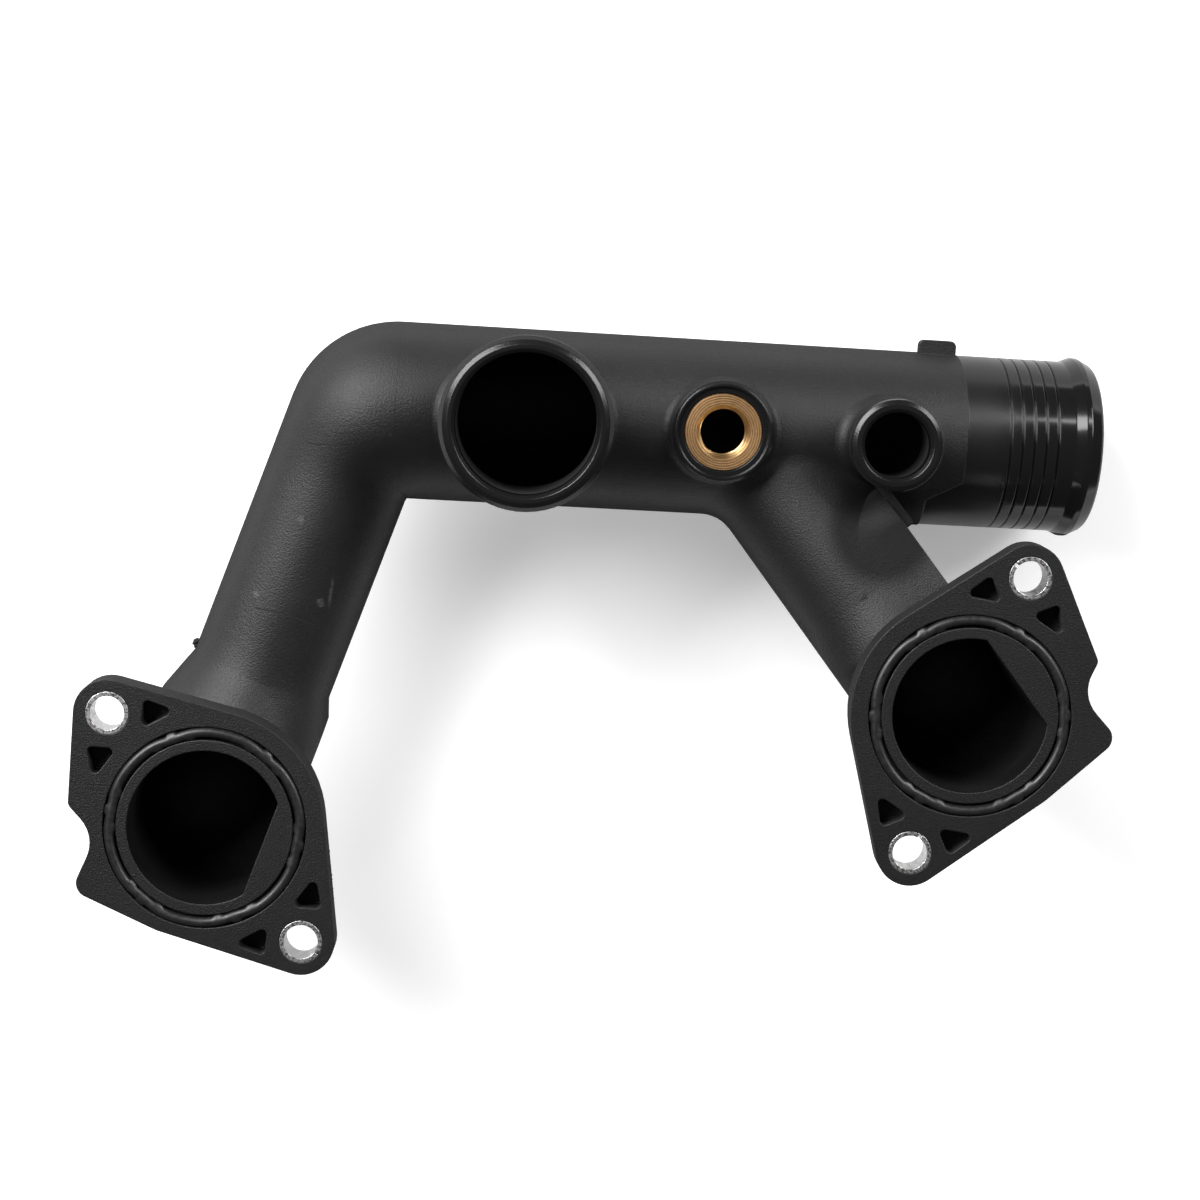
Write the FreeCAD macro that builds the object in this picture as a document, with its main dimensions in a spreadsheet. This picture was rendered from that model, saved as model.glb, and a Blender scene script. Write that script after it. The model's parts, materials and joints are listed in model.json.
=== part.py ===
import FreeCAD, Part
import math
import os
from FreeCAD import Placement, Rotation, Vector

# Coolant outlet pipe: one moulded pipe with two bolted flanges, lying on its back.
# The origin is the centre of the left flange's bore on its sealing face, +Z leaves
# both sealing faces, and +X runs along the main pipe towards the hose spigot.

doc = FreeCAD.newDocument("CoolantOutletPipe")
sheet = doc.addObject("Spreadsheet::Sheet", "Sizes")

# Driving sizes in millimetres and degrees
sizes = {
    # Main pipe and elbow
    "wall": 3.0,
    "pipe_od": 40.7,
    "pipe_y": 95.25,
    "axis_depth": 28.0,
    "pipe_fall": 6.6,
    "body_length": 129.6,
    "elbow_outer_r": 25.9,
    "elbow_taper": 14.0,
    "knee_ease": 0.03,
    # Places along the main pipe, as parts of the body length from where the elbow ends
    "large_ratio": 0.2294,
    "boss_ratio": 0.5727,
    "small_ratio": 0.8737,
    "tab_ratio": 0.9269,
    "step_ratio": 0.947,
    "right_ratio": 1.026,
    # Slanted end of the main pipe's skin, as a line seen in plan
    "step_start_y": 81.75,
    "step_slant": 29.3,
    "step_back": 14.0,
    # Hose spigot at the right end of the main pipe
    "spigot_od": 40.2,
    "spigot_length": 32.4,
    "bead_od": 42.2,
    "bead_inset": 3.7,
    "bead_run": 3.0,
    "bead_crest": 1.2,
    "bead_chamfer": 0.5,
    "nose_od": 39.6,
    "groove_start": 10.3,
    "groove_pitch": 2.82,
    "groove_width": 0.5,
    "groove_depth": 0.35,
    # Legs from the main pipe to the flanges
    "leg_od": 33.0,
    "left_leg_angle": 72.1,
    "left_leg_offset": 1.5,
    "right_leg_angle": 129.1,
    "right_leg_offset": 3.1,
    "neck_start": 33.5,
    "neck_flare": 11.0,
    "neck_od": 41.0,
    "neck_round_r": 6.0,
    "neck_root_r": 1.0,
    "leg_blend_wide": 9.0,
    "leg_blend_tight": 2.0,
    # Flanges
    "right_y": 35.5,
    "left_turn": -47.1,
    "right_turn": -109.6,
    "flange_thick": 9.0,
    "bolt_pitch": 67.5,
    "boss_r": 7.6,
    "hub_r": 26.8,
    "left_corner_u": -23.5,
    "left_corner_v": 20.2,
    "left_notch_v": 20.0,
    "left_toe_v": 32.2,
    "right_corner_u": -22.5,
    "right_corner_v": 21.7,
    "right_notch_v": 21.1,
    "right_toe_v": 32.9,
    "corner_r": 2.0,
    "notch_u": -14.0,
    "notch_r": 8.0,
    "toe_u": -8.2,
    "toe_r": 3.4,
    "kink_u": 11.0,
    "kink_v": 23.4,
    "kink_r": 12.0,
    "bore_r": 17.5,
    "left_chord": 13.5,
    "right_chord": 12.95,
    "chord_corner_r": 1.0,
    "groove_inner_r": 19.9,
    "groove_outer_r": 22.9,
    "seat_depth": 2.6,
    "pocket_depth": 6.5,
    "pocket_corner_r": 1.1,
    "pocket_far_u": 31.0,
    "pocket_far_v": 8.4,
    "pocket_near_u": 24.3,
    "pocket_near_v": 12.3,
    "pocket_foot_u": 26.2,
    "pocket_foot_v": 3.4,
    # Bolt sleeves
    "sleeve_od": 9.65,
    "sleeve_id": 7.75,
    "slit_width": 0.7,
    # Seals
    "seal_width": 1.9,
    "seal_height": 3.2,
    "seal_chamfer": 0.5,
    "seal_tip_r": 21.55,
    "seal_mid_r": 21.25,
    "seal_bend_r": 17.0,
    "nub_r": 0.55,
    "nub_gap": 0.05,
    "nub_spread": 11.0,
    # Beads of both upright hose ports
    "port_bead_inset": 2.3,
    "port_bead_run": 2.5,
    "port_crest": 1.2,
    "port_mouth": 0.5,
    "port_rim": 0.6,
    "port_chamfer": 0.8,
    # Large hose port
    "large_top": 8.0,
    "large_od": 36.0,
    "large_bore": 31.5,
    "large_bead_od": 39.0,
    "large_base_r": 3.0,
    # Small hose port
    "small_y": 94.85,
    "small_top": -6.0,
    "small_od": 19.6,
    "small_bore": 14.8,
    "small_bead_od": 21.0,
    "small_base_r": 3.0,
    # Sensor boss and its threaded insert
    "boss_top": -12.0,
    "boss_od": 23.4,
    "boss_base_r": 2.0,
    "boss_chamfer": 0.8,
    "insert_od": 17.8,
    "insert_hole": 10.4,
    "insert_length": 6.4,
    "insert_edge": 0.3,
    "insert_mouth": 0.95,
    "insert_relief": 0.6,
    "insert_recess_od": 20.6,
    "insert_recess": 0.8,
    # Gusset beside the right leg, and the low rib from it to the small port
    "gusset_side": 13.6,
    "gusset_reach": 51.5,
    "gusset_drop": 0.47,
    "gusset_corner_r": 10.0,
    "rib_start": 41.0,
    "rib_reach": 55.0,
    "rib_width": 2.2,
    "rib_overlap": 0.3,
    "rib_drop": 2.0,
    # Tab on the main pipe
    "tab_width": 8.65,
    "tab_rise": 3.0,
    "tab_top": -38.5,
    "tab_thick": 4.0,
    "tab_corner_r": 1.4,
    # How far a cut runs past the face that it opens
    "overrun": 5.0,
    # Block that trims the side of a neck or of a stub's end
    "trim_length": 80.0,
    "trim_width": 30.0,
}
for row, (alias, value) in enumerate(sizes.items(), 1):
    sheet.set("A%d" % row, alias.replace("_", " "))
    sheet.set("B%d" % row, str(value))
    sheet.setAlias("B%d" % row, alias)
doc.recompute()


def size(alias):
    return float(getattr(sheet, alias))


def bind(obj, **formulas):
    for name, formula in formulas.items():
        obj.setExpression(name.replace("__", "."), formula)
    return obj


def flat(angle):
    return Vector(math.cos(math.radians(angle)), math.sin(math.radians(angle)), 0)


# Derived places
pipe_r = size("pipe_od") / 2
leg_r = size("leg_od") / 2
depth = size("axis_depth")
left_along = flat(size("left_leg_angle"))
left_across = flat(size("left_leg_angle") - 90)
right_along = flat(size("right_leg_angle"))
right_across = flat(size("right_leg_angle") - 90)
fall = math.radians(size("pipe_fall"))
pipe_along = Vector(math.cos(fall), 0, -math.sin(fall))
wall = size("wall")

# Bend centre of the elbow, and the point where the main pipe leaves it
elbow_inset = size("elbow_outer_r") - pipe_r
left_bend_side = size("elbow_outer_r") - leg_r - size("left_leg_offset")
bend_y = size("pipe_y") - elbow_inset
bend_x = (left_bend_side - bend_y * left_across.y) / left_across.x
bend_centre = Vector(bend_x, bend_y, -depth)
bend_forward = bend_centre.dot(left_along)
pipe_start = bend_centre + Vector(0, elbow_inset, 0)


def along_body(alias):
    return pipe_start.x + size(alias) * size("body_length")


large_x = along_body("large_ratio")
boss_x = along_body("boss_ratio")
small_x = along_body("small_ratio")
right_bore = Vector(along_body("right_ratio"), size("right_y"), 0)


def point_on(origin, along, across, forward, side, height):
    return origin + along * forward + across * side + Vector(0, 0, height)


def turned(angle, base=Vector(0, 0, 0)):
    return Placement(base, Rotation(Vector(0, 0, 1), angle))


def aimed(base, along, roll=0):
    lean = Rotation(Vector(0, 0, 1), along)
    return Placement(base, lean.multiply(Rotation(Vector(0, 0, 1), roll)))


def cylinder(name, radius, height, base, along, roll=0):
    obj = doc.addObject("Part::Cylinder", name)
    bind(obj, Radius=radius, Height=height)
    obj.Placement = aimed(base, along, roll)
    return obj


def ball(name, radius, centre):
    obj = doc.addObject("Part::Sphere", name)
    bind(obj, Radius=radius)
    obj.Placement = Placement(centre, Rotation())
    return obj


def union(name, parts):
    joined = parts[0]
    for index, part in enumerate(parts[1:], 1):
        fuse = doc.addObject("Part::Fuse", "%s%d" % (name, index))
        fuse.Base = joined
        fuse.Tool = part
        fuse.Refine = False
        joined = fuse
    return joined


def cut(name, base, tool):
    obj = doc.addObject("Part::Cut", name)
    obj.Base = base
    obj.Tool = tool
    obj.Refine = False
    return obj


def rounded(vertices):
    """Closed run of lines with an arc at each vertex that has a radius."""
    corners = []
    count = len(vertices)
    for i, vertex in enumerate(vertices):
        here = Vector(vertex[0], vertex[1], 0)
        radius = vertex[2] if len(vertex) > 2 else 0
        before = Vector(vertices[i - 1][0], vertices[i - 1][1], 0)
        after = Vector(vertices[(i + 1) % count][0], vertices[(i + 1) % count][1], 0)
        if not radius:
            corners.append((here, None, here))
            continue
        back = (before - here).normalize()
        ahead = (after - here).normalize()
        half = back.getAngle(ahead) / 2
        reach = radius / math.tan(half)
        middle = here + (back + ahead).normalize() * (radius / math.sin(half) - radius)
        corners.append((here + back * reach, middle, here + ahead * reach))
    edges = []
    for i, (start, middle, end) in enumerate(corners):
        if middle is not None:
            edges.append(Part.Arc(start, middle, end))
        following = corners[(i + 1) % count][0]
        if (following - end).Length > 1e-6:
            edges.append(Part.LineSegment(end, following))
    return edges


def plane_of(body, role):
    return [item for item in body.Origin.OriginFeatures if item.Role == role][0]


def sketch_on(body, name, role, edges):
    sketch = body.newObject("Sketcher::SketchObject", name)
    sketch.AttachmentSupport = [(plane_of(body, role), "")]
    sketch.MapMode = "FlatFace"
    sketch.addGeometry(edges, False)
    return sketch


def lathe(name, profile, place, angle="360"):
    """Solid turned about its own Z axis from a profile of (radius, height) vertices."""
    body = doc.addObject("PartDesign::Body", name)
    edges = profile if not isinstance(profile[0], tuple) else rounded(profile)
    sketch = sketch_on(body, name + "Profile", "XZ_Plane", edges)
    turn = body.newObject("PartDesign::Revolution", name + "Turn")
    turn.Profile = sketch
    turn.ReferenceAxis = (sketch, ["V_Axis"])
    turn.setExpression("Angle", angle)
    body.Placement = place
    return body


def prism(name, edges, height, place, role="XY_Plane"):
    """Solid raised from an outline by a height formula."""
    body = doc.addObject("PartDesign::Body", name)
    sketch = sketch_on(body, name + "Outline", role, edges)
    pad = body.newObject("PartDesign::Pad", name + "Pad")
    pad.Profile = sketch
    pad.setExpression("Length", height)
    body.Placement = place
    return body


def d_edges(radius, chord, corner):
    """Circle with one flat at +X, its two corners rounded."""
    rise = math.sqrt((radius - corner) ** 2 - (chord - corner) ** 2)
    centre = Vector(chord - corner, rise, 0)
    turn = math.degrees(math.atan2(centre.y, centre.x))
    outer = flat(turn) * radius
    bulge = centre + flat(turn / 2) * corner
    flat_top = Vector(chord, rise, 0)

    def low(point):
        return Vector(point.x, -point.y, 0)

    return [
        Part.Arc(outer, Vector(-radius, 0, 0), low(outer)),
        Part.Arc(low(outer), low(bulge), low(flat_top)),
        Part.LineSegment(low(flat_top), flat_top),
        Part.Arc(flat_top, bulge, outer),
    ]


# Main pipe and elbow
def main_axis(x):
    return pipe_start + pipe_along * ((x - pipe_start.x) / pipe_along.x)


def half_disc(radius):
    rise = math.sqrt(radius ** 2 - elbow_inset ** 2)
    top = Vector(0, rise, 0)
    foot = Vector(0, -rise, 0)
    return [Part.Arc(foot, Vector(elbow_inset + radius, 0, 0), top), Part.LineSegment(top, foot)]


def elbow(name, radius):
    return lathe(name, half_disc(radius), turned(90, bend_centre), "Sizes.left_leg_angle")


def elbow_taper(name, thinner):
    """Blend from the elbow's section to the leg's, with the outer side straight."""
    rings = []
    for step in range(5):
        share = step / 4
        ease = share * share * (3 - 2 * share)
        radius = pipe_r + (leg_r - pipe_r) * ease
        forward = bend_forward - size("elbow_taper") * share
        side = radius - leg_r - size("left_leg_offset")
        ring = doc.addObject("Part::Circle", "%sRing%d" % (name, step))
        bind(ring, Radius="(Sizes.pipe_od + (Sizes.leg_od - Sizes.pipe_od) * %s) / 2 - %s" % (ease, thinner))
        ring.Placement = aimed(point_on(Vector(0, 0, 0), left_along, left_across, forward, side, -depth), left_along)
        rings.append(ring)
    loft = doc.addObject("Part::Loft", name)
    loft.Sections = rings
    loft.Solid = True
    loft.Ruled = False
    return loft


def main_pipe():
    """Tube whose seam line faces the right leg, so that the blend there can change width."""
    tube = cylinder("MainTube", "Sizes.pipe_od / 2", "Sizes.body_length", pipe_start, pipe_along, -90)
    knee = ball("MainKnee", "Sizes.pipe_od / 2 - Sizes.knee_ease", pipe_start)
    return tube, [knee, elbow("ElbowForm", pipe_r), elbow_taper("ElbowTaper", "0")]


def main_bore():
    length = "Sizes.body_length + Sizes.spigot_length + Sizes.overrun"
    bore = cylinder("MainBore", "Sizes.pipe_od / 2 - Sizes.wall", length, pipe_start, pipe_along)
    knee = ball("MainKneeBore", "Sizes.pipe_od / 2 - Sizes.wall - Sizes.knee_ease", pipe_start)
    return [bore, knee, elbow("ElbowBore", pipe_r - wall), elbow_taper("TaperBore", "Sizes.wall")]


# Hose spigot with five fine grooves and a bead
def spigot():
    radius = size("spigot_od") / 2
    length = size("spigot_length")
    crest = length - size("bead_inset")
    bead = size("bead_od") / 2
    nose = size("nose_od") / 2
    chamfer = size("bead_chamfer")
    back = -size("step_back")
    profile = [(0, back), (radius, back)]
    for index in range(5):
        middle = size("groove_start") + index * size("groove_pitch")
        half = size("groove_width") / 2
        profile += [
            (radius, middle - half),
            (radius - size("groove_depth"), middle - half / 2),
            (radius - size("groove_depth"), middle + half / 2),
            (radius, middle + half),
        ]
    profile += [
        (radius, crest - size("bead_run")),
        (bead, crest - size("bead_crest") / 2),
        (bead, crest + size("bead_crest") / 2),
        (nose, length - chamfer),
        (nose - chamfer, length),
        (0, length),
    ]
    place = aimed(pipe_start + pipe_along * size("body_length"), pipe_along)
    return lathe("SpigotForm", profile, place)


# Legs: the neck flares out just before each flange
def leg_profile(length):
    neck = size("neck_od") / 2
    start = size("neck_start")
    profile = [(0, 0), (neck, 0), (neck, start - size("neck_flare"), size("neck_round_r"))]
    if length > start:
        profile += [(leg_r, start, size("neck_root_r")), (leg_r, length)]
    else:
        profile += [(leg_r, length)]
    return profile + [(0, length)]


def side_box(name, along, across, centre, side, outward):
    """Block that lies beyond a flat beside the leg."""
    box = doc.addObject("Part::Box", name)
    bind(box, Length="Sizes.trim_length", Width="Sizes.trim_width", Height="Sizes.trim_length")
    half = size("trim_length") / 2
    angle = math.degrees(math.atan2(along.y, along.x))
    base = centre + along * (half * outward) + across * side + Vector(0, 0, -depth - half)
    box.Placement = turned(angle if outward < 0 else angle + 180, base)
    return box


def left_leg():
    start = left_across * -size("left_leg_offset") + Vector(0, 0, -depth)
    length = bend_forward - size("elbow_taper")
    form = lathe("LeftLegTurned", leg_profile(length), aimed(start, left_along))
    trim = side_box("LeftNeckTrim", left_along, left_across, Vector(0, 0, 0), size("left_chord") + wall, 1)
    bore = cylinder("LeftLegBore", "Sizes.leg_od / 2 - Sizes.wall", "%s" % length, start, left_along)
    return cut("LeftLegForm", form, trim), bore


# Right leg: level to the neck, then falling to the main pipe's axis
right_start = point_on(right_bore, right_along, right_across, 0, -size("right_leg_offset"), -depth)
right_neck = right_start + right_along * size("neck_start")
right_reach = (size("pipe_y") - right_start.y) / right_along.y
right_rise = main_axis(right_start.x + right_along.x * right_reach) - right_neck
right_slope = -right_rise.z / math.hypot(right_rise.x, right_rise.y)


def right_leg():
    """Sloping tube on its own, then the other outer forms, then the hollow ones."""
    turning = lathe("RightNeckTurned", leg_profile(size("neck_start")), aimed(right_start, right_along))
    trim = union("RightNeckTrim", [
        side_box("RightNeckTrimA", right_along, right_across, right_bore, size("gusset_side"), 1),
        side_box("RightNeckTrimB", right_along, right_across, right_bore, -leg_r - size("right_leg_offset"), -1),
    ])
    length = "%s" % right_rise.Length
    tube = cylinder("RightLegTube", "Sizes.leg_od / 2", length, right_neck, right_rise)
    outer = [
        cut("RightNeckForm", turning, trim),
        ball("RightLegKnee", "Sizes.leg_od / 2 - Sizes.knee_ease", right_neck),
    ]
    inner = [
        cylinder("RightLegBore", "Sizes.leg_od / 2 - Sizes.wall", length, right_neck, right_rise),
        ball("RightKneeBore", "Sizes.leg_od / 2 - Sizes.wall - Sizes.knee_ease", right_neck),
        cylinder("RightNeckBore", "Sizes.leg_od / 2 - Sizes.wall", "Sizes.neck_start", right_start, right_along),
    ]
    return tube, outer, inner


def stub(name, centre, angle, chord):
    """Round stub with one flat that drops from the flange to the leg's level."""
    outer_edges = d_edges(size("bore_r") + wall, chord + wall, size("chord_corner_r") + wall)
    base = centre + Vector(0, 0, -depth)
    form = prism(name + "StubForm", outer_edges, "Sizes.axis_depth - Sizes.flange_thick / 2", turned(angle, base))
    bore_edges = d_edges(size("bore_r"), chord, size("chord_corner_r"))
    bore = prism(name + "StubBore", bore_edges, "Sizes.axis_depth + Sizes.overrun", turned(angle, base))
    end = ball(name + "StubEnd", "Sizes.neck_od / 2", base)
    end_bore = ball(name + "StubEndBore", "Sizes.neck_od / 2 - Sizes.wall", base)
    across = flat(angle)
    along = flat(angle + 90)
    trim = side_box(name + "EndTrim", along, across, centre, chord + wall, 1)
    bore_trim = side_box(name + "EndBoreTrim", along, across, centre, chord, 1)
    return [form, cut(name + "EndForm", end, trim)], [bore, cut(name + "EndBore", end_bore, bore_trim)]


# Flange outline: bosses and hub joined by tangents, with a notched toe on one side
def tangent_line(point, centre, radius, side):
    away = point - centre
    turn = side * math.acos(radius / away.Length)
    angle = math.atan2(away.y, away.x) + turn
    normal = Vector(math.cos(angle), math.sin(angle), 0)
    return normal, normal.dot(point)


def meet(first, second):
    (n, k), (m, j) = first, second
    base = n.x * m.y - n.y * m.x
    return (k * m.y - j * n.y) / base, (n.x * j - m.x * k) / base


def flange_outline(hand):
    prefix = "left_" if hand < 0 else "right_"
    half = size("bolt_pitch") / 2
    boss = size("boss_r")
    hub = size("hub_r")
    lean = (hub - boss) / half
    hub_near = (Vector(-lean, -math.sqrt(1 - lean ** 2), 0), hub)
    hub_far = (Vector(lean, -math.sqrt(1 - lean ** 2), 0), hub)
    corner = Vector(size(prefix + "corner_u"), size(prefix + "corner_v"), 0)
    kink = Vector(size("kink_u"), size("kink_v"), 0)
    edge_near = tangent_line(corner, Vector(-half, 0, 0), boss, 1)
    edge_far = tangent_line(kink, Vector(half, 0, 0), boss, -1)
    vertices = [
        meet(hub_near, hub_far) + (hub,),
        meet(hub_far, edge_far) + (boss,),
        (kink.x, kink.y, size("kink_r")),
        (size("toe_u"), size(prefix + "toe_v"), size("toe_r")),
        (size("notch_u"), size(prefix + "notch_v"), size("notch_r")),
        (corner.x, corner.y, size("corner_r")),
        meet(edge_near, hub_near) + (boss,),
    ]
    return rounded([(x, y * hand, radius) for x, y, radius in vertices])


def pocket_outlines(hand):
    corner = size("pocket_corner_r")
    tips = [(size("pocket_%s_u" % tip), size("pocket_%s_v" % tip)) for tip in ("far", "near", "foot")]
    edges = []
    for end in (-1, 1):
        for side in (-1, 1):
            edges += rounded([(x * end, y * side * hand, corner) for x, y in tips])
    return edges


def pocket(body, name, edges, depth_formula):
    sketch = sketch_on(body, name + "Outline", "XY_Plane", edges)
    feature = body.newObject("PartDesign::Pocket", name)
    feature.Profile = sketch
    feature.Reversed = False
    feature.setExpression("Length", depth_formula)
    return feature


def flange(name, hand, centre, turn):
    """Flange plate with its seal seat, sleeve holes and lightening pockets."""
    body = doc.addObject("PartDesign::Body", name)
    outline = sketch_on(body, name + "Outline", "XY_Plane", flange_outline(hand))
    pad = body.newObject("PartDesign::Pad", name + "Pad")
    pad.Profile = outline
    pad.setExpression("Length", "Sizes.flange_thick")
    pad.Reversed = True
    up = Vector(0, 0, 1)
    middle = Vector(0, 0, 0)
    seat_edges = [Part.Circle(middle, up, size("groove_outer_r")), Part.Circle(middle, up, size("groove_inner_r"))]
    pocket(body, name + "Seat", seat_edges, "Sizes.seat_depth")
    half = size("bolt_pitch") / 2
    hole_edges = [Part.Circle(Vector(side * half, 0, 0), up, size("sleeve_od") / 2) for side in (-1, 1)]
    pocket(body, name + "SleeveHoles", hole_edges, "Sizes.flange_thick + 1")
    pocket(body, name + "Pockets", pocket_outlines(hand), "Sizes.pocket_depth")
    body.Placement = turned(turn, centre)
    return body


def hose_port(name, x, top, od, bore, bead_od, y):
    """Upright hose tube with a bead and a chamfered mouth."""
    floor = main_axis(x)
    height = top - floor.z
    crest = height - size("port_bead_inset")
    profile = [
        (0, 0),
        (od / 2, 0),
        (od / 2, crest - size("port_bead_run")),
        (bead_od / 2, crest - size("port_crest") / 2),
        (bead_od / 2, crest + size("port_crest") / 2),
        (od / 2 + size("port_mouth"), height - size("port_rim")),
        (od / 2 - size("port_mouth"), height),
        (0, height),
    ]
    place = Placement(Vector(x, y, floor.z), Rotation())
    form = lathe(name + "Form", profile, place)
    hollow = [
        (0, 0),
        (bore / 2, 0),
        (bore / 2, height - size("port_chamfer")),
        (bore / 2 + size("port_chamfer"), height),
        (bore / 2 + size("port_chamfer"), height + size("overrun")),
        (0, height + size("overrun")),
    ]
    return form, lathe(name + "Bore", hollow, place)


# Sensor boss with a seat for the brass insert
def sensor_boss():
    floor = main_axis(boss_x)
    top = size("boss_top") - floor.z
    seat = top - size("insert_recess") - size("insert_length")
    radius = size("boss_od") / 2
    chamfer = size("boss_chamfer")
    profile = [(0, 0), (radius, 0), (radius, top - chamfer), (radius - chamfer, top), (0, top)]
    place = Placement(Vector(boss_x, size("pipe_y"), floor.z), Rotation())
    relief = size("insert_hole") / 2 + size("insert_relief")
    hollow = [
        (0, 0),
        (relief, 0),
        (relief, seat),
        (size("insert_od") / 2, seat),
        (size("insert_od") / 2, top - size("insert_recess")),
        (size("insert_recess_od") / 2, top - size("insert_recess")),
        (size("insert_recess_od") / 2, top + size("overrun")),
        (0, top + size("overrun")),
    ]
    return lathe("SensorBossForm", profile, place), lathe("SensorBossBore", hollow, place)


# Blends are laid on the edges where two round forms meet
def off_axis(point, origin, along):
    offset = point - origin
    return (offset - along * offset.dot(along)).Length


def on_pipe(point):
    return abs(off_axis(point, pipe_start, pipe_along) - pipe_r) < 0.02


def on_leg(point):
    return abs(off_axis(point, right_neck, right_rise * (1 / right_rise.Length)) - leg_r) < 0.02


def blended(name, base, chosen, radius_at):
    """Fillet on each chosen edge, its radius taken at both of the edge's ends."""
    doc.recompute()
    fillet = doc.addObject("Part::Fillet", name)
    fillet.Base = base
    picked = []
    for index, edge in enumerate(base.Shape.Edges, 1):
        points = edge.discretize(9)
        if chosen(edge, points):
            picked.append((index, radius_at(points[0]), radius_at(points[-1])))
    fillet.Edges = picked
    return fillet


def leg_joint(tube, leg):
    """Main pipe and right leg, blended widely on the leg's outer side and tightly on the other."""
    wide = size("leg_blend_wide")
    tight = size("leg_blend_tight")

    def radius_at(point):
        side = (point - right_start).dot(right_across)
        share = min(1, max(0, (side + leg_r) / (2 * leg_r)))
        return wide + (tight - wide) * share

    def chosen(edge, points):
        return all(on_pipe(point) and on_leg(point) for point in points)

    return blended("LegBlend", union("LegJoint", [tube, leg]), chosen, radius_at)


def crown_form(pipe, bosses):
    """Main pipe with its upright ports, a fillet round the foot of each."""
    def at_foot(point):
        return [
            blend for form, x, y, radius, blend in bosses
            if abs(math.hypot(point.x - x, point.y - y) - radius) < 0.02
        ]

    def chosen(edge, points):
        if isinstance(edge.Curve, (Part.Line, Part.Circle)):
            return False
        return all(at_foot(point) for point in points)

    joined = union("Crown", [pipe] + [boss[0] for boss in bosses])
    return blended("CrownFillets", joined, chosen, lambda point: at_foot(point)[0])


def slanted_end(pipe):
    """Pipe whose skin stops along a slanted line, where the spigot's surface shows."""
    x = along_body("step_ratio")
    y = size("step_start_y")
    far = pipe_start.x + size("body_length") + size("overrun")
    end_y = y + (far - x) * math.tan(math.radians(size("step_slant")))
    low_y = size("pipe_y") - pipe_r - size("overrun")
    edges = rounded([(x, low_y), (far, low_y), (far, end_y), (x, y)])
    level = main_axis(far).z - pipe_r - size("overrun")
    tool = prism("StepCutter", edges, "Sizes.trim_length", Placement(Vector(0, 0, level), Rotation()))
    return cut("SteppedPipe", pipe, tool)


def gusset():
    """Solid web between the right leg, its flange and the spigot, and the rib beyond it."""
    near = size("bore_r")
    far = size("gusset_reach")
    low = -depth - leg_r / 2

    def top(forward):
        return -(depth - leg_r) - size("gusset_drop") - right_slope * (forward - size("neck_start"))

    edges = rounded([(near, top(near)), (far, top(far), size("gusset_corner_r")), (far, low), (near, -depth)])
    place = turned(size("right_leg_angle"), right_bore)
    web = prism("GussetForm", edges, "Sizes.gusset_side", place, "XZ_Plane")
    start = size("rib_start")
    reach = size("rib_reach")
    drop = size("rib_drop")
    edges = rounded([(start, top(start) - drop), (reach, top(reach) - drop), (reach, low), (start, low)])
    inner = right_across * (size("gusset_side") - size("rib_overlap"))
    place = turned(size("right_leg_angle"), right_bore + inner)
    return [web, prism("RibForm", edges, "Sizes.rib_width", place, "XZ_Plane")]


def tab():
    """Small raised block on the back of the main pipe beside the spigot."""
    x = along_body("tab_ratio")
    width = size("tab_width")
    top = size("pipe_y") + pipe_r + size("tab_rise")
    foot = size("pipe_y") + pipe_r - wall
    corner = size("tab_corner_r")
    edges = rounded([(x, foot), (x + width, foot), (x + width, top, corner), (x, top, corner)])
    level = size("tab_top") - size("tab_thick")
    return prism("TabForm", edges, "Sizes.tab_thick", Placement(Vector(0, 0, level), Rotation()))


# The moulded pipe: everything solid, less everything hollow
leg_left, leg_left_bore = left_leg()
right_tube, leg_right, leg_right_bore = right_leg()
left_stub, left_stub_bore = stub("Left", Vector(0, 0, 0), size("left_leg_angle") - 90, size("left_chord"))
right_stub, right_stub_bore = stub("Right", right_bore, size("right_leg_angle") - 90, size("right_chord"))
large_form, large_bore = hose_port(
    "LargePort", large_x, size("large_top"), size("large_od"), size("large_bore"),
    size("large_bead_od"), size("pipe_y"))
small_form, small_bore = hose_port(
    "SmallPort", small_x, size("small_top"), size("small_od"), size("small_bore"),
    size("small_bead_od"), size("small_y"))
boss_form, boss_bore = sensor_boss()
left_flange = flange("LeftFlangePlate", -1, Vector(0, 0, 0), size("left_turn"))
right_flange = flange("RightFlangePlate", 1, right_bore, size("right_turn"))
main_tube, elbow_forms = main_pipe()
joint = leg_joint(main_tube, right_tube)
crown = crown_form(main_tube, [
    (large_form, large_x, size("pipe_y"), size("large_od") / 2, size("large_base_r")),
    (small_form, small_x, size("small_y"), size("small_od") / 2, size("small_base_r")),
    (boss_form, boss_x, size("pipe_y"), size("boss_od") / 2, size("boss_base_r")),
])
solid_forms = [slanted_end(union("Body", [crown, joint]))] + elbow_forms + [spigot(), leg_left] + leg_right + left_stub + right_stub
solid_forms += gusset() + [tab()]
hollow_forms = main_bore() + [leg_left_bore] + leg_right_bore + left_stub_bore + right_stub_bore
hollow_forms += [large_bore, small_bore, boss_bore]
doc.recompute()
moulding = cut("MouldedPipe", union("SolidForms", solid_forms + [left_flange, right_flange]),
               union("HollowForms", hollow_forms))
moulding.Label = "moulded_pipe"
doc.recompute()


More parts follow.
